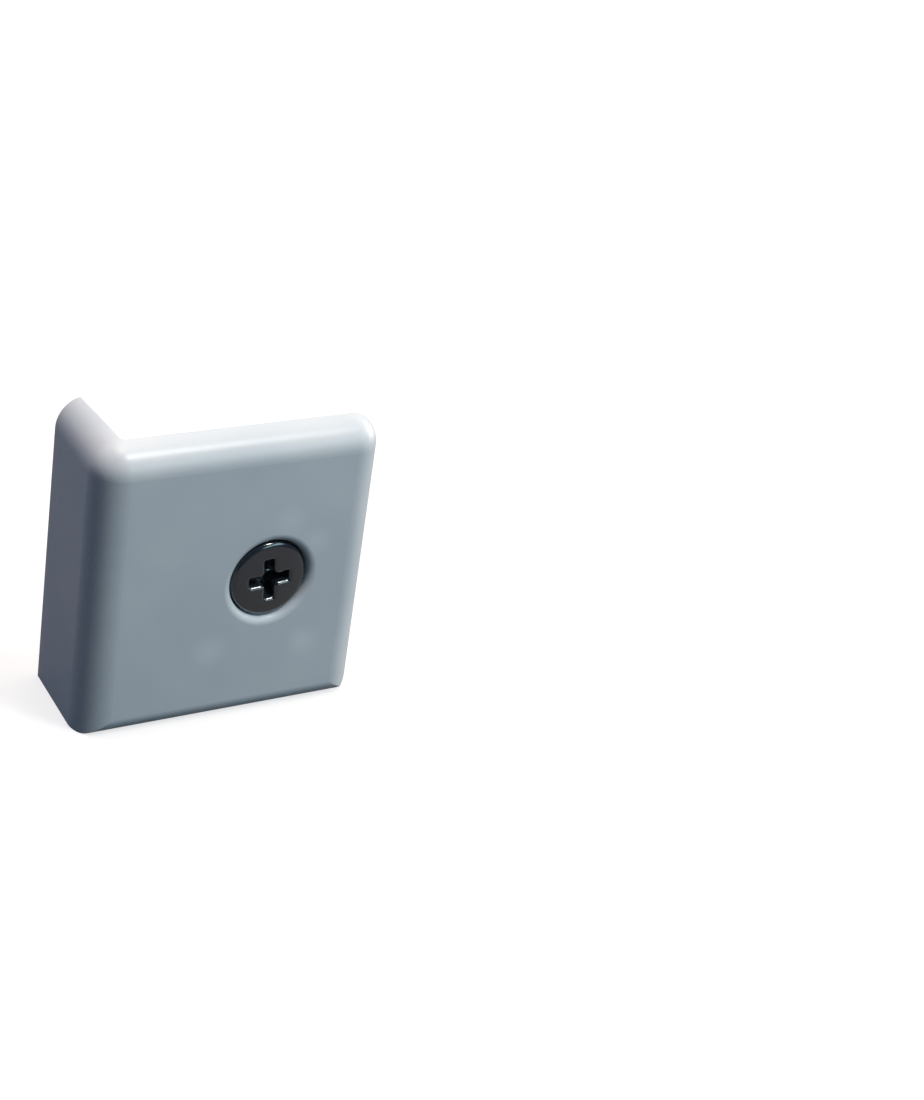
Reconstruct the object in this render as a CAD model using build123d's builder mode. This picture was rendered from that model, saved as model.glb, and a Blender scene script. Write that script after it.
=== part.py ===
from build123d import *
import math
import os

# Profile end cap, in millimetres. X runs along the rail, Y from the front face towards the rail's back,
# and Z is up. The origin is the centre of the cap's base.

# Rail that the cap closes
rail_height = 40.0
rail_lip = 3.0
rail_slot = 24.0

# Moulded cap
rim = 1.0
cap_width = 40.3
cap_depth = 16.7
plate_thickness = 4.0
wall_thickness = 4.3
wall_draft = 4.2
edge_radius = 4.1
base_radius = 2.2
rim_break = 0.3
root_radius = 0.4

# Screw
screw_from_end = 15.1
screw_height = 19.8
thread_diameter = 6.0
screw_length = 8.0
tip_chamfer = 0.7
head_diameter = 10.9
head_height = 4.6
head_edge = 0.9
crown_height = 0.25

# Cross recess in its head
drive_span = 6.6
drive_wing = 1.4
drive_depth = 3.0
drive_foot_span = 3.2
drive_foot_wing = 1.0
drive_corner = 0.4
drive_turn = 5.0

# Counterbore and the locating key behind the plate
bore_gap = 0.1
bore_lip = 1.15
shank_gap = 0.3
boss_wall = 2.0
key_gap = 0.3
key_width = 21.0
bar_thickness = 2.4
web_thickness = 2.0
key_chamfer = 0.4

# Slot nut
nut_width = 16.0
nut_length = 30.0
nut_thickness = 4.0
nut_corner = 2.0
nut_edge = 0.5
thread_gap = 0.05
nut_countersink = 0.5

# Places worked out from the sizes
cap_height = rail_height + rim
left, right = -cap_width / 2, cap_width / 2
front, back = -cap_depth / 2, cap_depth / 2
plate_back = front + plate_thickness
wall_inner = left + wall_thickness
lean = math.radians(wall_draft)
corner_x = left + edge_radius * (1 - math.tan(lean) - 1 / math.cos(lean))
tip_x = corner_x + cap_depth * math.tan(lean)
screw_x = right - screw_from_end
seat_y = front + head_height
screw_end = seat_y + screw_length
key_back = plate_back + rail_lip - key_gap
key_height = rail_slot - 2 * key_gap
nut_front = plate_back + rail_lip
head_radius = head_diameter / 2
thread_radius = thread_diameter / 2
boss_radius = head_radius + bore_gap + boss_wall


def across(y):
    """Plane across the screw's axis at the depth y, facing the rail's back."""
    return Plane(origin=(screw_x, y, screw_height), x_dir=(1, 0, 0), z_dir=(0, 1, 0))


def nearest(edges, *point):
    """The edge that passes nearest to a point."""
    return edges.sort_by_distance(point)[0]


os.makedirs("parts", exist_ok=True)

# Moulded cap: a block with soft outer edges, opened for the rail
with BuildPart() as end_cap:
    with BuildSketch(Plane.XY):
        with BuildLine():
            Polyline((corner_x, front), (right, front), (right, back), (tip_x, back), close=True)
        make_face()
    extrude(amount=cap_height)

    # Soft edges: the upright front corners, the top except at the back, and the free side's lower corner
    uprights = end_cap.edges().filter_by(Axis.Z).group_by(Axis.Y)[0]
    top_edges = end_cap.faces().sort_by(Axis.Z)[-1].edges().sort_by(Axis.Y)[:-1]
    free_corner = end_cap.faces().sort_by(Axis.X)[-1].edges().sort_by(Axis.Z)[0]
    fillet(uprights + top_edges + [free_corner], radius=edge_radius)

    # The front's lower edge is rounded less and runs straight out through the end wall's square base
    with BuildSketch(Plane.YZ.offset(corner_x)):
        with Locations((front, 0)):
            Rectangle(base_radius, base_radius, align=Align.MIN)
        with Locations((front + base_radius, base_radius)):
            Circle(base_radius, mode=Mode.SUBTRACT)
    extrude(amount=right - corner_x, mode=Mode.SUBTRACT)

    # Room for the rail, open above, below, behind and at the free side
    with BuildSketch(Plane.XY):
        with Locations((wall_inner, plate_back)):
            Rectangle(right - wall_inner, back - plate_back, align=Align.MIN)
    extrude(amount=cap_height, mode=Mode.SUBTRACT)

    # The root of the end wall has a small radius, and the rim's inner edge is broken
    fillet(nearest(end_cap.edges(), wall_inner, plate_back, cap_height / 2), radius=root_radius)
    plate_rim = nearest(end_cap.edges(), 0, plate_back, cap_height)
    wall_rim = nearest(end_cap.edges(), wall_inner, 0, cap_height)
    chamfer([plate_rim, wall_rim], length=rim_break)

    # Locating key: two bars that fit the rail's slot, two webs, and the boss under the screw's head
    with BuildSketch(across(plate_back)):
        with GridLocations(0, key_height - bar_thickness, 1, 2):
            Rectangle(key_width, bar_thickness)
        with GridLocations(2 * boss_radius - web_thickness, 0, 2, 1):
            Rectangle(web_thickness, key_height - bar_thickness)
        Circle(boss_radius)
    extrude(amount=key_back - plate_back)
    bar_edges = end_cap.edges(Select.LAST).filter_by(Axis.X).group_by(Axis.Y)[-1].sort_by(Axis.Z)
    chamfer([bar_edges[0], bar_edges[-1]], length=key_chamfer)

    # Counterbore with a rounded lip, and the screw's clearance hole
    with BuildSketch(across(front)):
        Circle(head_radius + bore_gap)
    extrude(amount=seat_y - front, mode=Mode.SUBTRACT)
    with BuildSketch(across(seat_y)):
        Circle(thread_radius + shank_gap)
    extrude(amount=key_back - seat_y, mode=Mode.SUBTRACT)
    fillet(end_cap.edges().filter_by(GeomType.CIRCLE).sort_by(Axis.Y)[0], radius=bore_lip)
end_cap.part.label = "end_cap"
export_step(end_cap.part, "parts/end_cap.step")

# Pan-head screw, its crown level with the plate's face
with BuildPart() as fixing_screw:
    with BuildSketch(Plane.XY.offset(screw_height)):
        with BuildLine():
            crown_edge = head_radius - head_edge
            crown = ThreePointArc(
                (screw_x, front),
                (screw_x + crown_edge / 2, front + crown_height / 4),
                (screw_x + crown_edge, front + crown_height),
            )
            shoulder = (screw_x + head_radius, front + crown_height + head_edge)
            TangentArc(crown @ 1, shoulder, tangent=crown % 1)
            Polyline(
                shoulder,
                (screw_x + head_radius, seat_y),
                (screw_x + thread_radius, seat_y),
                (screw_x + thread_radius, screw_end - tip_chamfer),
                (screw_x + thread_radius - tip_chamfer, screw_end),
                (screw_x, screw_end),
                (screw_x, front),
            )
        make_face()
    revolve(axis=Axis((screw_x, 0, screw_height), (0, 1, 0)))

    # Cross recess: four wings that taper to its foot, with soft corners between them
    for depth, span, wing in ((0, drive_span, drive_wing), (drive_depth, drive_foot_span, drive_foot_wing)):
        with BuildSketch(across(front + depth)) as cross:
            with PolarLocations(0, 2, start_angle=-drive_turn, angular_range=180):
                Rectangle(span, wing)
            inner_corners = cross.vertices().sort_by_distance((screw_x, front + depth, screw_height))[:4]
            fillet(inner_corners, radius=drive_corner)
    loft(ruled=True, mode=Mode.SUBTRACT)
fixing_screw.part.label = "fixing_screw"
export_step(fixing_screw.part, "parts/fixing_screw.step")

# Slot nut: a steel plate behind the rail's lips, tapped for the screw
with BuildPart() as slot_nut:
    with BuildSketch(across(nut_front)):
        RectangleRounded(nut_width, nut_length, nut_corner)
    extrude(amount=nut_thickness)
    chamfer(slot_nut.faces().filter_by(Axis.Y).edges(), length=nut_edge)
    with BuildSketch(across(nut_front)):
        Circle(thread_radius + thread_gap)
    extrude(amount=nut_thickness, mode=Mode.SUBTRACT)
    mouths = slot_nut.edges(Select.LAST).filter_by(GeomType.CIRCLE)
    chamfer(mouths, length=nut_countersink)
slot_nut.part.label = "slot_nut"
export_step(slot_nut.part, "parts/slot_nut.step")
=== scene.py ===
import math

import bmesh
import bpy
from mathutils import Matrix, Vector


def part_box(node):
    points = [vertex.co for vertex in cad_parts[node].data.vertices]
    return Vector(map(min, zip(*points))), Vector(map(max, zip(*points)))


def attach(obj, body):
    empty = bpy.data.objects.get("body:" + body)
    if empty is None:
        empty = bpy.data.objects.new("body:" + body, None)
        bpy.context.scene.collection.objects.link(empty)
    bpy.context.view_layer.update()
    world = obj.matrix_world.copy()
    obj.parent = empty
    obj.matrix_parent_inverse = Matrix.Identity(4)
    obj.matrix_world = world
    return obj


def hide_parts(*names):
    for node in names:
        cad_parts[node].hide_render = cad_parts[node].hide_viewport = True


bl_info = {
    "name": "Profile end cap",
    "version": (1, 0, 0),
    "blender": (4, 5, 0),
    "location": "View3D > Sidebar > End Cap",
    "description": "Dresses the moulded end cap, its screw and its slot nut, and sets up the studio",
    "category": "Object",
}

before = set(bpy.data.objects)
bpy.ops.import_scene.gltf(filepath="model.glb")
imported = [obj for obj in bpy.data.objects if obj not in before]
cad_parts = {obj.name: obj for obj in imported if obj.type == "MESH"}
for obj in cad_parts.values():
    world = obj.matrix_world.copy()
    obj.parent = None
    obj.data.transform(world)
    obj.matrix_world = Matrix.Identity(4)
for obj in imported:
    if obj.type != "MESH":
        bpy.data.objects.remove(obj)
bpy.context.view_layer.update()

# The part's frame is in metres: X from the end wall to the free side, Y from the front face to the back, Z up
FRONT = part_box("end_cap")[0].y
SCREW_LOW, SCREW_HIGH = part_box("fixing_screw")
SCREW_AXIS = (SCREW_LOW + SCREW_HIGH) / 2
HEAD_RADIUS = (SCREW_HIGH.x - SCREW_LOW.x) / 2
SCREW_LENGTH = SCREW_HIGH.y - FRONT

# Sinks on the plate's front, in millimetres: X and Z from the screw's axis, radius, and strength from 0 to 1
SINKS = (
    (-7.65, -8.86, 3.6, 1.0),
    (6.19, -9.47, 3.4, 1.0),
    (2.39, 9.08, 3.2, 0.7),
    (6.68, 5.50, 3.0, 0.7),
)

# Metric thread: its depth as a share of the pitch, and one pitch of its profile,
# each point as a place along the pitch and a share of the depth
THREAD_DEPTH = 0.5413
THREAD_PROFILE = ((0.0, 0.0), (0.125, 0.0), (0.4375, 1.0), (0.6875, 1.0))

# How finely the screw's mesh follows its curves
FLANK_STEPS = 6
CORNER_STEPS = 5
RIM_STEPS = 6
CROWN_STEPS = 8
SHOULDER_STEPS = 10
THREAD_STEPS = 72
HARD_EDGE = math.radians(32)
WELD_DISTANCE = 1e-7

# Camera that gives the photograph's view: its place in millimetres, and its turns in radians
CAMERA_PLACE = (-132.61, -243.56, 169.04)
CAMERA_YAW = 0.61772
CAMERA_PITCH = -0.47716
CAMERA_ROLL = -0.16039


def mm(value):
    """Millimetres in metres."""
    return value / 1000


def in_mm(value):
    """Metres in millimetres."""
    return value * 1000


def scale_for(size):
    """Texture scale that gives a pattern this size in metres."""
    return 1 / size


def linear(code):
    """The linear colour of an sRGB hex value."""
    parts = [int(code[i : i + 2], 16) / 255 for i in (1, 3, 5)]
    return tuple(c / 12.92 if c <= 0.04045 else ((c + 0.055) / 1.055) ** 2.4 for c in parts)


def opaque(rgb):
    """A linear colour with full alpha, for a shader's socket."""
    return (*rgb, 1.0)


def add_node(tree, kind, inputs=None, **settings):
    """Adds a node, sets its properties, and gives each named input a value or a link."""
    node = tree.nodes.new(kind)
    for name, value in settings.items():
        setattr(node, name, value)
    for socket, value in (inputs or {}).items():
        if isinstance(value, bpy.types.NodeSocket):
            tree.links.new(value, node.inputs[socket])
        else:
            node.inputs[socket].default_value = value
    return node


def new_material(name):
    """An empty node material and its tree."""
    material = bpy.data.materials.new(name)
    material.use_nodes = True
    material.node_tree.nodes.clear()
    return material, material.node_tree


def plate_sinks(tree, place):
    """Depth of the sinks at a point of the cap, from 0 to 1, on the front face alone."""
    front_depth = mm(0.4)
    parts = add_node(tree, "ShaderNodeSeparateXYZ", {"Vector": place})
    flat = add_node(tree, "ShaderNodeCombineXYZ", {"X": parts.outputs["X"], "Z": parts.outputs["Z"]})
    total = 0.0
    for x, z, radius, strength in SINKS:
        middle = (SCREW_AXIS.x + mm(x), 0, SCREW_AXIS.z + mm(z))
        away = add_node(tree, "ShaderNodeVectorMath", {0: flat.outputs[0], 1: middle}, operation="DISTANCE")
        dip = add_node(
            tree,
            "ShaderNodeMapRange",
            {
                "Value": away.outputs["Value"],
                "From Min": 0.0,
                "From Max": mm(radius),
                "To Min": strength,
                "To Max": 0.0,
            },
            interpolation_type="SMOOTHSTEP",
        )
        both = add_node(tree, "ShaderNodeMath", {0: total, 1: dip.outputs["Result"]}, operation="ADD")
        total = both.outputs[0]
    ahead = {0: parts.outputs["Y"], 1: FRONT + front_depth}
    on_front = add_node(tree, "ShaderNodeMath", ahead, operation="LESS_THAN")
    sinks = add_node(tree, "ShaderNodeMath", {0: total, 1: on_front.outputs[0]}, operation="MULTIPLY")
    return sinks.outputs[0]


def moulded_polyamide(settings):
    """Polyamide 6, injection moulded in a finely eroded tool."""
    # It gives a pale grey body with a broad satin sheen, a very fine grain, and shallow sinks over the key
    # with a painted sheen in them.
    # The tool's real grain is finer than a pixel, so it is drawn about ten times as coarse.
    material, tree = new_material("moulded_polyamide")
    flow_size, ripple_size = mm(14), mm(5)
    ripple_height_mm = 0.012
    painted_sheen_share = 0.5
    roughness_spread = 0.05

    place = add_node(tree, "ShaderNodeTexCoord").outputs["Object"]
    grain = add_node(
        tree,
        "ShaderNodeTexNoise",
        {"Vector": place, "Scale": scale_for(settings.grain), "Detail": 3.0, "Roughness": 0.6},
    ).outputs["Fac"]
    flow = add_node(
        tree,
        "ShaderNodeTexNoise",
        {"Vector": place, "Scale": scale_for(flow_size), "Detail": 2.0, "Roughness": 0.45, "Distortion": 0.4},
    ).outputs["Fac"]
    ripple = add_node(
        tree,
        "ShaderNodeTexNoise",
        {"Vector": place, "Scale": scale_for(ripple_size), "Detail": 1.0},
    ).outputs["Fac"]
    sinks = plate_sinks(tree, place)

    # Colour: pigment streaks along the melt's flow, and a painted sheen in the sinks, a paler colour that
    # stands in for the light they catch
    streaks = add_node(tree, "ShaderNodeMapRange", {"Value": flow, "From Min": 0.35, "From Max": 0.65})
    body = add_node(
        tree,
        "ShaderNodeMix",
        {
            "Factor": streaks.outputs["Result"],
            "A": opaque(settings.streak_colour),
            "B": opaque(settings.colour),
        },
        data_type="RGBA",
    )
    # Painted sheen: the sinks' mask blends the colour towards a paler one, standing in for the light that the
    # sinks catch
    painted_sheen = add_node(tree, "ShaderNodeMath", {0: sinks, 1: painted_sheen_share}, operation="MULTIPLY", use_clamp=True)
    body = add_node(
        tree,
        "ShaderNodeMix",
        {"Factor": painted_sheen.outputs[0], "A": body.outputs["Result"], "B": opaque(settings.painted_sheen_colour)},
        data_type="RGBA",
    )
    roughness = add_node(
        tree,
        "ShaderNodeMapRange",
        {
            "Value": grain,
            "From Min": 0.3,
            "From Max": 0.7,
            "To Min": settings.roughness - roughness_spread,
            "To Max": settings.roughness + roughness_spread,
        },
    )

    # Relief: sinks and the slow waviness of the moulded skin, in millimetres, then the tool's grain
    soft_edge = add_node(tree, "ShaderNodeBevel", {"Radius": mm(0.15)}, samples=6)
    sunk = add_node(tree, "ShaderNodeMath", {0: sinks, 1: -in_mm(settings.sink_depth)}, operation="MULTIPLY")
    height = add_node(
        tree,
        "ShaderNodeMath",
        {0: ripple, 1: ripple_height_mm, 2: sunk.outputs[0]},
        operation="MULTIPLY_ADD",
    )
    skin = add_node(
        tree,
        "ShaderNodeBump",
        {"Strength": 1.0, "Distance": mm(1), "Height": height.outputs[0], "Normal": soft_edge.outputs[0]},
    )
    relief = add_node(
        tree,
        "ShaderNodeBump",
        {
            "Strength": settings.grain_strength,
            "Distance": mm(0.03),
            "Height": grain,
            "Normal": skin.outputs[0],
        },
    )
    shader = add_node(
        tree,
        "ShaderNodeBsdfPrincipled",
        {
            "Base Color": body.outputs["Result"],
            "Roughness": roughness.outputs["Result"],
            "IOR": 1.45,
            "Subsurface Weight": 0.06,
            "Subsurface Radius": (1.0, 0.9, 0.8),
            "Subsurface Scale": mm(0.8),
            "Normal": relief.outputs[0],
        },
    )
    add_node(tree, "ShaderNodeOutputMaterial", {"Surface": shader.outputs[0]})
    return material


def enamelled_steel(settings):
    """Steel under stoved black enamel."""
    # It gives a deep gloss black with crisp lights, a little orange peel, and no metal showing.
    material, tree = new_material("enamelled_steel")
    peel_size, dust_size = mm(0.8), mm(0.35)

    place = add_node(tree, "ShaderNodeTexCoord").outputs["Object"]
    peel = add_node(
        tree,
        "ShaderNodeTexNoise",
        {"Vector": place, "Scale": scale_for(peel_size), "Detail": 1.0},
    ).outputs["Fac"]
    dust = add_node(
        tree,
        "ShaderNodeTexNoise",
        {"Vector": place, "Scale": scale_for(dust_size), "Detail": 4.0, "Roughness": 0.7},
    ).outputs["Fac"]
    tone = add_node(
        tree,
        "ShaderNodeMix",
        {"Factor": dust, "A": opaque(settings.colour), "B": opaque(settings.dust_colour)},
        data_type="RGBA",
    )
    roughness = add_node(
        tree,
        "ShaderNodeMapRange",
        {
            "Value": dust,
            "From Min": 0.3,
            "From Max": 0.7,
            "To Min": settings.roughness - 0.03,
            "To Max": settings.roughness + 0.05,
        },
    )
    soft_edge = add_node(tree, "ShaderNodeBevel", {"Radius": settings.edge_softness}, samples=8)
    relief = add_node(
        tree,
        "ShaderNodeBump",
        {"Strength": 0.25, "Distance": mm(0.02), "Height": peel, "Normal": soft_edge.outputs[0]},
    )
    shader = add_node(
        tree,
        "ShaderNodeBsdfPrincipled",
        {
            "Base Color": tone.outputs["Result"],
            "Roughness": roughness.outputs["Result"],
            "IOR": 1.5,
            "Coat Weight": 1.0,
            "Coat IOR": 1.6,
            "Coat Roughness": 0.1,
            "Normal": relief.outputs[0],
        },
    )
    add_node(tree, "ShaderNodeOutputMaterial", {"Surface": shader.outputs[0]})
    return material


def zinc_plated_steel(settings):
    """Rolled and stamped steel plate with a bright zinc plating."""
    # It gives a pale bluish metal with fine rolling lines along the plate and cloudy patches of passivation.
    # The real lines and crystals are finer than a pixel, so both are drawn several times as coarse.
    material, tree = new_material("zinc_plated_steel")
    cloud_size, crystal_size = mm(4), mm(0.5)
    line_stretch = 0.04

    place = add_node(tree, "ShaderNodeTexCoord").outputs["Object"]
    drawn = add_node(tree, "ShaderNodeMapping", {"Vector": place, "Scale": (1.0, 1.0, line_stretch)})
    lines = add_node(
        tree,
        "ShaderNodeTexNoise",
        {
            "Vector": drawn.outputs[0],
            "Scale": scale_for(settings.line_spacing),
            "Detail": 3.0,
            "Roughness": 0.6,
        },
    ).outputs["Fac"]
    clouds = add_node(
        tree,
        "ShaderNodeTexNoise",
        {"Vector": place, "Scale": scale_for(cloud_size), "Detail": 4.0, "Roughness": 0.6},
    ).outputs["Fac"]
    crystals = add_node(tree, "ShaderNodeTexVoronoi", {"Vector": place, "Scale": scale_for(crystal_size)})
    tone = add_node(
        tree,
        "ShaderNodeMix",
        {"Factor": clouds, "A": opaque(settings.colour), "B": opaque(settings.cloud_colour)},
        data_type="RGBA",
    )
    wear = add_node(tree, "ShaderNodeMath", {0: clouds, 1: crystals.outputs["Distance"]}, operation="ADD")
    roughness = add_node(
        tree,
        "ShaderNodeMapRange",
        {
            "Value": wear.outputs[0],
            "From Min": 0.4,
            "From Max": 1.2,
            "To Min": settings.roughness - 0.06,
            "To Max": settings.roughness + 0.12,
        },
    )
    soft_edge = add_node(tree, "ShaderNodeBevel", {"Radius": mm(0.15)}, samples=6)
    relief = add_node(
        tree,
        "ShaderNodeBump",
        {"Strength": 0.25, "Distance": mm(0.02), "Height": lines, "Normal": soft_edge.outputs[0]},
    )
    shader = add_node(
        tree,
        "ShaderNodeBsdfPrincipled",
        {
            "Base Color": tone.outputs["Result"],
            "Metallic": 1.0,
            "Roughness": roughness.outputs["Result"],
            "Normal": relief.outputs[0],
        },
    )
    add_node(tree, "ShaderNodeOutputMaterial", {"Surface": shader.outputs[0]})
    return material


def matt_paper(settings):
    """Seamless white paper."""
    # It gives a white ground that keeps the object's shadow, and throws little light back on the object.
    material, tree = new_material("matt_paper")
    path = add_node(tree, "ShaderNodeLightPath").outputs
    mirrored = add_node(
        tree,
        "ShaderNodeMath",
        {0: path["Is Glossy Ray"], 1: path["Is Transmission Ray"]},
        operation="MAXIMUM",
    ).outputs[0]
    seen = add_node(tree, "ShaderNodeMath", {0: path["Is Camera Ray"], 1: mirrored}, operation="MAXIMUM")
    albedo = add_node(
        tree,
        "ShaderNodeMapRange",
        {"Value": mirrored, "To Min": settings.floor_albedo, "To Max": settings.mirrored_albedo},
    )
    glow = add_node(
        tree,
        "ShaderNodeMapRange",
        {"Value": mirrored, "To Min": settings.floor_glow, "To Max": settings.mirrored_glow},
    )
    shade = add_node(tree, "ShaderNodeBsdfDiffuse", {"Color": albedo.outputs["Result"]})
    light = add_node(
        tree,
        "ShaderNodeEmission",
        {"Color": (1.0, 1.0, 1.0, 1.0), "Strength": glow.outputs["Result"]},
    )
    shown = add_node(tree, "ShaderNodeAddShader", {0: shade.outputs[0], 1: light.outputs[0]})
    unseen = add_node(tree, "ShaderNodeBsdfDiffuse", {"Color": (0.03, 0.03, 0.035, 1.0)})
    surface = add_node(
        tree,
        "ShaderNodeMixShader",
        {0: seen.outputs[0], 1: unseen.outputs[0], 2: shown.outputs[0]},
    )
    add_node(tree, "ShaderNodeOutputMaterial", {"Surface": surface.outputs[0]})
    return material


def dress(node, material):
    """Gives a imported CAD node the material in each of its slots."""
    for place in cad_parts[node].material_slots:
        place.material = material


def mesh_object(name, build, material):
    """A new object from a bmesh, with its hard edges kept sharp."""
    mesh = bpy.data.meshes.new(name)
    build.normal_update()
    for face in build.faces:
        face.smooth = True
    for edge in build.edges:
        edge.smooth = edge.calc_face_angle(0.0) < HARD_EDGE
    build.to_mesh(mesh)
    build.free()
    piece = bpy.data.objects.new(name, mesh)
    bpy.context.scene.collection.objects.link(piece)
    mesh.materials.append(material)
    return piece


def cross_outline(span, wing, inner, outer):
    """One turn of a cross's outline in X and Z, with rounded inner and outer corners."""
    side, tip = wing / 2, span / 2
    root, shoulder = side + inner, tip - outer
    run = shoulder - root
    flank = [i / FLANK_STEPS for i in range(FLANK_STEPS)]
    edge = [i / CORNER_STEPS for i in range(CORNER_STEPS)]
    corner = [math.pi / 2 * t for t in edge]
    arm = [(root + run * t, -side) for t in flank]
    arm += [(shoulder + outer * math.sin(a), outer - side - outer * math.cos(a)) for a in corner]
    arm += [(tip, (outer - side) * (1 - 2 * t)) for t in edge]
    arm += [(shoulder + outer * math.cos(a), side - outer + outer * math.sin(a)) for a in corner]
    arm += [(shoulder - run * t, side) for t in flank]
    arm += [(root - inner * math.sin(a), root - inner * math.cos(a)) for a in corner]
    quarters = ((1, 0), (0, 1), (-1, 0), (0, -1))
    return [Vector((c * x - s * z, 0, s * x + c * z)) for c, s in quarters for x, z in arm]


def pan_head(build, radius, settings):
    """Adds the head: a crown at y = 0 with its cross recess, a rounded shoulder, a side and a seat."""
    rim, depth, height = settings.drive_rim, settings.drive_depth, settings.head_height
    crown_edge = radius - settings.head_edge
    start = (settings.crown_height + rim) / depth

    def cross(t, grow):
        """The recess's outline at t of its depth, grown by a distance."""
        return cross_outline(
            settings.drive_span + (settings.drive_foot_span - settings.drive_span) * t + 2 * grow,
            settings.drive_wing + (settings.drive_foot_wing - settings.drive_wing) * t + 2 * grow,
            settings.drive_corner - grow,
            settings.drive_rounding + grow,
        )

    def crown(point):
        """Depth of the crown under a point of its outline."""
        return settings.crown_height * (point.length / crown_edge) ** 2

    # Rings up the recess, each at a share of its depth, the foot's own edge drawn in to round it
    foot_middle = depth + mm(0.15)
    foot = ((1.0, -mm(0.2)), (0.985, -mm(0.08)), (0.95, 0.0))
    walls = ((0.7, 0.0), (0.45, 0.0), (start * 1.3, 0.0))
    rings = []
    for t, grow in foot + walls:
        rings.append([point + Vector((0, depth * t, 0)) for point in cross(t, grow)])

    # The rim rolls over from the wing's wall to the crown
    for i in range(RIM_STEPS, -1, -1):
        turn = math.pi / 2 * i / RIM_STEPS
        ring = cross(start, rim * (1 - math.sin(turn)))
        rings.append([point + Vector((0, crown(point) + rim * (1 - math.cos(turn)), 0)) for point in ring])

    # The crown runs from the rim to its round edge
    mouth = cross(start, rim)
    ways = [point.normalized() for point in mouth]
    for i in range(1, CROWN_STEPS + 1):
        ring = [point.lerp(way * crown_edge, i / CROWN_STEPS) for point, way in zip(mouth, ways)]
        rings.append([point + Vector((0, crown(point), 0)) for point in ring])

    # The shoulder is a curve that leaves the crown along its slope, then come the side and the seat
    slope = 2 * settings.crown_height / crown_edge
    first = (crown_edge, settings.crown_height)
    knee = (radius, settings.crown_height + slope * settings.head_edge)
    last = (radius, settings.crown_height + settings.head_edge)
    outline = []
    for i in range(1, SHOULDER_STEPS + 1):
        t = i / SHOULDER_STEPS
        curve = zip(first, knee, last)
        outline.append(tuple((1 - t) ** 2 * a + 2 * t * (1 - t) * b + t * t * c for a, b, c in curve))
    seat_round, seat_middle = mm(0.3), mm(1)
    seat_cut = 0.3 * seat_round
    outline += [(radius, height - seat_round), (radius - seat_cut, height - seat_cut)]
    outline += [(radius - seat_round, height), (seat_middle, height)]
    rings += [[way * r + Vector((0, y, 0)) for way in ways] for r, y in outline]

    turned = Matrix.Rotation(-settings.drive_turn, 3, "Y")
    rows = [[build.verts.new(turned @ point) for point in ring] for ring in rings]
    for near, far in zip(rows, rows[1:]):
        for i in range(len(near)):
            build.faces.new((near[i - 1], near[i], far[i], far[i - 1]))
    for row, y in ((rows[0], foot_middle), (rows[-1], height)):
        middle = build.verts.new((0, y, 0))
        for i in range(len(row)):
            build.faces.new((row[i - 1], row[i], middle))
    bmesh.ops.recalc_face_normals(build, faces=build.faces)


def helical_thread(build, start, end, radius, pitch, chamfer):
    """Adds a threaded shank along Y from start to end, closed at both ends."""
    # Each row is one point of the profile carried once round, so its last point meets the next turn's first
    points = len(THREAD_PROFILE)
    turns = int((end - start) / pitch) + 3
    rows = []
    for j in range(turns * points + 1):
        offset, cut = THREAD_PROFILE[j % points]
        row = []
        for i in range(THREAD_STEPS):
            y = start + pitch * (j // points - 1 + offset + i / THREAD_STEPS)
            y = min(max(y, start), end)
            fade = min(1.0, (y - start) / pitch)
            r = min(radius - THREAD_DEPTH * pitch * cut * fade, radius - chamfer + (end - y))
            a = math.tau * i / THREAD_STEPS
            row.append(build.verts.new((r * math.cos(a), y, r * math.sin(a))))
        rows.append(row)
    for j in range(len(rows) - 1):
        near, far = rows[j], rows[j + 1]
        for i in range(THREAD_STEPS - 1):
            build.faces.new((near[i], near[i + 1], far[i + 1], far[i]))
        if j + points + 1 < len(rows):
            build.faces.new((near[-1], rows[j + points][0], rows[j + points + 1][0], far[-1]))
    bmesh.ops.remove_doubles(build, verts=build.verts, dist=WELD_DISTANCE)
    bmesh.ops.dissolve_degenerate(build, edges=build.edges, dist=WELD_DISTANCE)
    rims = [edge for edge in build.edges if edge.is_boundary]
    bmesh.ops.holes_fill(build, edges=rims)
    bmesh.ops.recalc_face_normals(build, faces=build.faces)


class EndCapSettings(bpy.types.PropertyGroup):
    """Finish of the moulded cap."""

    colour: bpy.props.FloatVectorProperty(
        name="Colour",
        description="Colour of the moulded cap",
        default=linear("#DDE4E8"), subtype="COLOR", size=3, min=0, max=1,
    )
    streak_colour: bpy.props.FloatVectorProperty(
        name="Streak colour",
        description="Slightly darker pigment along the melt's flow",
        default=linear("#D5DEE3"), subtype="COLOR", size=3, min=0, max=1,
    )
    # Painted sheen: a paler colour laid in the sinks for the light they catch
    painted_sheen_colour: bpy.props.FloatVectorProperty(
        name="Painted sheen colour",
        description="Paler colour in the sinks",
        default=linear("#EEF4F8"), subtype="COLOR", size=3, min=0, max=1,
    )
    roughness: bpy.props.FloatProperty(
        name="Roughness",
        description="Roughness of the moulded skin",
        default=0.32, subtype="FACTOR", min=0.05, max=1,
    )
    grain: bpy.props.FloatProperty(
        name="Grain size",
        description="Size of the eroded tool's grain",
        default=mm(0.3), unit="LENGTH", subtype="DISTANCE",
    )
    grain_strength: bpy.props.FloatProperty(
        name="Grain strength",
        description="How strongly the grain shows",
        default=0.2, subtype="FACTOR", min=0, max=1,
    )
    sink_depth: bpy.props.FloatProperty(
        name="Sink depth",
        description="Depth of the sinks over the key",
        default=mm(0.06), unit="LENGTH", subtype="DISTANCE",
    )


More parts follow.
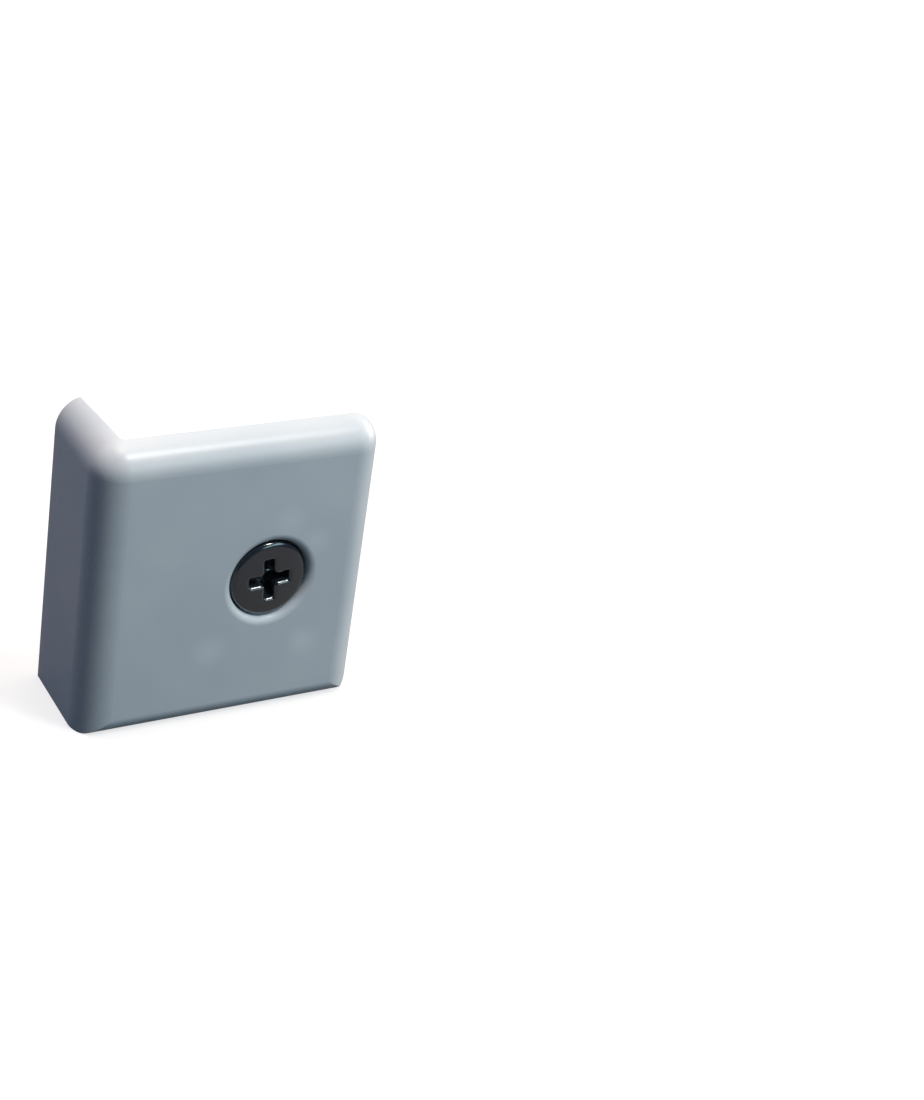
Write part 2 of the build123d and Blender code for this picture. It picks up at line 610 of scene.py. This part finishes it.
class ScrewSettings(bpy.types.PropertyGroup):
    """Sizes and finish of the pan-head screw."""

    thread_pitch: bpy.props.FloatProperty(
        name="Thread pitch",
        description="Distance between two turns of the thread",
        default=mm(1.0), unit="LENGTH", subtype="DISTANCE",
    )
    thread_radius: bpy.props.FloatProperty(
        name="Thread radius",
        description="Half the thread's outer diameter",
        default=mm(3.0), unit="LENGTH", subtype="DISTANCE",
    )
    tip_chamfer: bpy.props.FloatProperty(
        name="Tip chamfer",
        description="Chamfer at the screw's end",
        default=mm(0.7), unit="LENGTH", subtype="DISTANCE",
    )
    head_height: bpy.props.FloatProperty(
        name="Head height",
        description="From the crown's top to the seat",
        default=mm(4.6), unit="LENGTH", subtype="DISTANCE",
    )
    head_edge: bpy.props.FloatProperty(
        name="Head edge",
        description="Size of the round between crown and side",
        default=mm(0.9), unit="LENGTH", subtype="DISTANCE",
    )
    crown_height: bpy.props.FloatProperty(
        name="Crown height",
        description="Rise of the crown over its edge",
        default=mm(0.25), unit="LENGTH", subtype="DISTANCE",
    )
    drive_span: bpy.props.FloatProperty(
        name="Recess span",
        description="Span of the cross recess at the crown",
        default=mm(6.6), unit="LENGTH", subtype="DISTANCE",
    )
    drive_wing: bpy.props.FloatProperty(
        name="Recess wing",
        description="Width of a wing at the crown",
        default=mm(1.4), unit="LENGTH", subtype="DISTANCE",
    )
    drive_depth: bpy.props.FloatProperty(
        name="Recess depth",
        description="Depth of the cross recess",
        default=mm(3.0), unit="LENGTH", subtype="DISTANCE",
    )
    drive_foot_span: bpy.props.FloatProperty(
        name="Foot span",
        description="Span of the cross at its foot",
        default=mm(3.2), unit="LENGTH", subtype="DISTANCE",
    )
    drive_foot_wing: bpy.props.FloatProperty(
        name="Foot wing",
        description="Width of a wing at its foot",
        default=mm(1.0), unit="LENGTH", subtype="DISTANCE",
    )
    drive_corner: bpy.props.FloatProperty(
        name="Recess corner",
        description="Radius between two wings, at least the rim's rounding",
        default=mm(0.65), unit="LENGTH", subtype="DISTANCE",
    )
    drive_rounding: bpy.props.FloatProperty(
        name="Wing rounding",
        description="Radius at a wing's outer corners",
        default=mm(0.2), unit="LENGTH", subtype="DISTANCE",
    )
    drive_rim: bpy.props.FloatProperty(
        name="Rim rounding",
        description="Radius of the recess's rim under the enamel",
        default=mm(0.6), unit="LENGTH", subtype="DISTANCE",
    )
    drive_turn: bpy.props.FloatProperty(
        name="Recess turn",
        description="Angle at which the tightened cross stands",
        default=math.radians(5), unit="ROTATION", subtype="ANGLE",
    )
    edge_softness: bpy.props.FloatProperty(
        name="Edge softness",
        description="Rounding that the enamel gives to sharp edges",
        default=mm(0.1), unit="LENGTH", subtype="DISTANCE",
    )
    colour: bpy.props.FloatVectorProperty(
        name="Colour",
        description="Colour of the enamel",
        default=linear("#1D242B"), subtype="COLOR", size=3, min=0, max=1,
    )
    dust_colour: bpy.props.FloatVectorProperty(
        name="Dust colour",
        description="Paler colour of the finest specks in the enamel",
        default=linear("#272E35"), subtype="COLOR", size=3, min=0, max=1,
    )
    roughness: bpy.props.FloatProperty(
        name="Roughness",
        description="Roughness of the enamel",
        default=0.16, subtype="FACTOR", min=0.05, max=1,
    )


class NutSettings(bpy.types.PropertyGroup):
    """Finish of the slot nut."""

    colour: bpy.props.FloatVectorProperty(
        name="Colour",
        description="Colour of the zinc",
        default=linear("#D2D5DA"), subtype="COLOR", size=3, min=0, max=1,
    )
    cloud_colour: bpy.props.FloatVectorProperty(
        name="Cloud colour",
        description="Duller colour where the passivation is thick",
        default=linear("#B9BCC4"), subtype="COLOR", size=3, min=0, max=1,
    )
    roughness: bpy.props.FloatProperty(
        name="Roughness",
        description="Roughness of the plating",
        default=0.3, subtype="FACTOR", min=0.05, max=1,
    )
    line_spacing: bpy.props.FloatProperty(
        name="Line spacing",
        description="Distance between rolling lines",
        default=mm(0.25), unit="LENGTH", subtype="DISTANCE",
    )


class StageSettings(bpy.types.PropertyGroup):
    """Floor, lamps, the room's light and the lens."""

    floor_size: bpy.props.FloatProperty(
        name="Floor size",
        description="Width of the paper floor",
        default=6.0, unit="LENGTH", subtype="DISTANCE",
    )
    floor_albedo: bpy.props.FloatProperty(
        name="Floor albedo",
        description="Share of the light that the paper throws back where it is seen",
        default=0.35, subtype="FACTOR", min=0, max=1,
    )
    mirrored_albedo: bpy.props.FloatProperty(
        name="Mirrored albedo",
        description="The same share where the paper is seen in a gloss",
        default=0.16, subtype="FACTOR", min=0, max=1,
    )
    floor_glow: bpy.props.FloatProperty(
        name="Floor glow",
        description="Brightness added where the floor is seen",
        default=0.72, min=0, max=2,
    )
    mirrored_glow: bpy.props.FloatProperty(
        name="Mirrored glow",
        description="Brightness added where the floor is seen in a gloss",
        default=0.1, min=0, max=2,
    )
    lamp_distance: bpy.props.FloatProperty(
        name="Lamp distance",
        description="From the object to each lamp",
        default=0.6, unit="LENGTH", subtype="DISTANCE",
    )
    overhead_power: bpy.props.FloatProperty(
        name="Overhead lamp",
        description="Power of the soft warm lamp above",
        default=1.9, unit="POWER", subtype="POWER",
    )
    key_power: bpy.props.FloatProperty(
        name="Key lamp",
        description="Power of the small lamp above the front's right",
        default=1.65, unit="POWER", subtype="POWER",
    )
    strip_power: bpy.props.FloatProperty(
        name="Strip lamp",
        description="Power of the cool narrow lamp in front",
        default=0.9, unit="POWER", subtype="POWER",
    )
    back_power: bpy.props.FloatProperty(
        name="Back lamp",
        description="Power of the soft lamp behind",
        default=0.7, unit="POWER", subtype="POWER",
    )
    side_power: bpy.props.FloatProperty(
        name="Side lamp",
        description="Power of the soft lamp at the free side",
        default=1.95, unit="POWER", subtype="POWER",
    )
    fill_power: bpy.props.FloatProperty(
        name="Fill lamp",
        description="Power of the cool lamp behind the end wall",
        default=0.55, unit="POWER", subtype="POWER",
    )
    ambient: bpy.props.FloatProperty(
        name="Ambient",
        description="Strength of the room's light",
        default=0.14, min=0, max=2,
    )
    ambient_colour: bpy.props.FloatVectorProperty(
        name="Ambient colour",
        description="Colour of the room's light",
        default=linear("#94B2DC"), subtype="COLOR", size=3, min=0, max=1,
    )
    lens: bpy.props.FloatProperty(
        name="Lens",
        description="Focal length in millimetres on a 36 mm wide sensor",
        default=77.722, unit="CAMERA", subtype="DISTANCE_CAMERA",
    )


class ENDCAP_OT_dress_cap(bpy.types.Operator):
    """Gives the moulded cap its finish"""

    bl_idname = "endcap.dress_cap"
    bl_label = "Dress the cap"

    def execute(self, context):
        dress("end_cap", moulded_polyamide(context.scene.endcap_cap))
        return {"FINISHED"}


class ENDCAP_OT_build_screw(bpy.types.Operator):
    """Builds the pan-head screw with its cross recess and thread"""

    bl_idname = "endcap.build_screw"
    bl_label = "Build the screw"

    def execute(self, context):
        settings = context.scene.endcap_screw
        build = bmesh.new()
        helical_thread(
            build,
            settings.head_height,
            SCREW_LENGTH,
            settings.thread_radius,
            settings.thread_pitch,
            settings.tip_chamfer,
        )
        pan_head(build, HEAD_RADIUS, settings)
        build.transform(Matrix.Translation((SCREW_AXIS.x, FRONT, SCREW_AXIS.z)))
        screw = mesh_object("pan_head_screw", build, enamelled_steel(settings))
        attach(screw, "root")
        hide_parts("fixing_screw")
        return {"FINISHED"}


class ENDCAP_OT_dress_nut(bpy.types.Operator):
    """Gives the slot nut its plating"""

    bl_idname = "endcap.dress_nut"
    bl_label = "Dress the slot nut"

    def execute(self, context):
        dress("slot_nut", zinc_plated_steel(context.scene.endcap_nut))
        return {"FINISHED"}


class ENDCAP_OT_build_stage(bpy.types.Operator):
    """Lays the floor and sets the lamps, the room's light and the camera"""

    bl_idname = "endcap.build_stage"
    bl_label = "Build the stage"

    def execute(self, context):
        settings = context.scene.endcap_stage
        self.lay_floor(context.scene, settings)
        self.hang_lamps(context.scene, settings)
        self.light_room(context.scene, settings)
        self.place_camera(context.scene, settings)
        context.scene.view_settings.view_transform = "Standard"
        return {"FINISHED"}

    def lay_floor(self, scene, settings):
        """A square of paper that the part stands on."""
        half = settings.floor_size / 2
        corners = [(-half, -half, 0), (half, -half, 0), (half, half, 0), (-half, half, 0)]
        mesh = bpy.data.meshes.new("floor")
        mesh.from_pydata(corners, [], [(0, 1, 2, 3)])
        mesh.materials.append(matt_paper(settings))
        floor = bpy.data.objects.new("floor", mesh)
        scene.collection.objects.link(floor)

    def hang_lamps(self, scene, settings):
        """Soft boxes round the part, all aimed at its middle."""
        # Name, direction from the part, width, length (the side that runs back along Y), power, colour
        lamps = (
            ("overhead", (0.04, 0.02, 1.00), 0.26, 0.26, settings.overhead_power, "#FFE4CA"),
            ("key", (0.30, -0.44, 0.84), 0.12, 0.12, settings.key_power, "#F8F8F8"),
            ("strip", (0.52, -0.74, 0.42), 0.14, 0.50, settings.strip_power, "#C2E4F2"),
            ("back", (0.05, 0.60, 0.80), 0.50, 0.40, settings.back_power, "#FFF6EC"),
            ("side", (0.96, 0.05, 0.24), 0.30, 0.30, settings.side_power, "#FFF1E4"),
            ("fill", (-0.45, 0.40, 0.80), 0.40, 0.40, settings.fill_power, "#B0CAFF"),
        )
        target = Vector((0, 0, mm(20)))
        for name, direction, width, length, power, tint in lamps:
            lamp = bpy.data.lights.new(name, "AREA")
            lamp.shape = "RECTANGLE"
            lamp.size = width
            lamp.size_y = length
            lamp.energy = power
            lamp.color = linear(tint)
            carrier = bpy.data.objects.new(name, lamp)
            way = Vector(direction).normalized()
            along = (Vector((0, 1, 0)) - way * way.y).normalized()
            turn = Matrix((along.cross(way), along, way)).transposed().to_4x4()
            carrier.matrix_world = Matrix.Translation(target + way * settings.lamp_distance) @ turn
            scene.collection.objects.link(carrier)

    def light_room(self, scene, settings):
        """A dim cool room that is white where the camera sees it."""
        world = bpy.data.worlds.new("studio")
        world.use_nodes = True
        tree = world.node_tree
        tree.nodes.clear()
        path = add_node(tree, "ShaderNodeLightPath").outputs
        seen = add_node(
            tree,
            "ShaderNodeMath",
            {0: path["Is Camera Ray"], 1: path["Is Transmission Ray"]},
            operation="MAXIMUM",
        )
        room = add_node(
            tree,
            "ShaderNodeBackground",
            {"Color": opaque(settings.ambient_colour), "Strength": settings.ambient},
        )
        white = add_node(tree, "ShaderNodeBackground", {"Color": (1.0, 1.0, 1.0, 1.0), "Strength": 1.0})
        both = add_node(
            tree,
            "ShaderNodeMixShader",
            {0: seen.outputs[0], 1: room.outputs[0], 2: white.outputs[0]},
        )
        add_node(tree, "ShaderNodeOutputWorld", {"Surface": both.outputs[0]})
        scene.world = world

    def place_camera(self, scene, settings):
        """The camera, at the photograph's viewing angle."""
        level_way = Vector((math.sin(CAMERA_YAW), math.cos(CAMERA_YAW), 0))
        forward = level_way * math.cos(CAMERA_PITCH) + Vector((0, 0, math.sin(CAMERA_PITCH)))
        level = Vector((math.cos(CAMERA_YAW), -math.sin(CAMERA_YAW), 0))
        down = forward.cross(level)
        right = level * math.cos(CAMERA_ROLL) + down * math.sin(CAMERA_ROLL)
        up = level * math.sin(CAMERA_ROLL) - down * math.cos(CAMERA_ROLL)
        camera = bpy.data.objects.new("camera", bpy.data.cameras.new("camera"))
        camera.data.lens = settings.lens
        camera.data.sensor_width = 36
        camera.data.clip_start = mm(10)
        camera.data.clip_end = 20
        place = Vector(CAMERA_PLACE) * mm(1)
        turn = Matrix((right, up, -forward)).transposed().to_4x4()
        camera.matrix_world = Matrix.Translation(place) @ turn
        scene.collection.objects.link(camera)
        scene.camera = camera


class ENDCAP_PT_panel(bpy.types.Panel):
    """Settings and steps of the end cap"""

    bl_idname = "ENDCAP_PT_panel"
    bl_label = "End Cap"
    bl_space_type = "VIEW_3D"
    bl_region_type = "UI"
    bl_category = "End Cap"

    def draw(self, context):
        for group, _, operator in GROUPS:
            settings = getattr(context.scene, group)
            box = self.layout.box()
            for name in settings.__annotations__:
                box.prop(settings, name)
            box.operator(operator)


# Each group of settings, by its name in the scene, with the step that uses it
GROUPS = (
    ("endcap_cap", EndCapSettings, "endcap.dress_cap"),
    ("endcap_screw", ScrewSettings, "endcap.build_screw"),
    ("endcap_nut", NutSettings, "endcap.dress_nut"),
    ("endcap_stage", StageSettings, "endcap.build_stage"),
)
OTHER_CLASSES = (
    ENDCAP_OT_dress_cap,
    ENDCAP_OT_build_screw,
    ENDCAP_OT_dress_nut,
    ENDCAP_OT_build_stage,
    ENDCAP_PT_panel,
)


def register():
    for name, group, _ in GROUPS:
        bpy.utils.register_class(group)
        setattr(bpy.types.Scene, name, bpy.props.PointerProperty(type=group))
    for item in OTHER_CLASSES:
        bpy.utils.register_class(item)


def unregister():
    for item in reversed(OTHER_CLASSES):
        bpy.utils.unregister_class(item)
    for name, group, _ in reversed(GROUPS):
        delattr(bpy.types.Scene, name)
        bpy.utils.unregister_class(group)


def main():
    """Dresses and builds the pieces in order."""
    register()
    bpy.ops.endcap.dress_cap()
    bpy.ops.endcap.build_screw()
    bpy.ops.endcap.dress_nut()
    bpy.ops.endcap.build_stage()


if __name__ == "__main__":
    main()
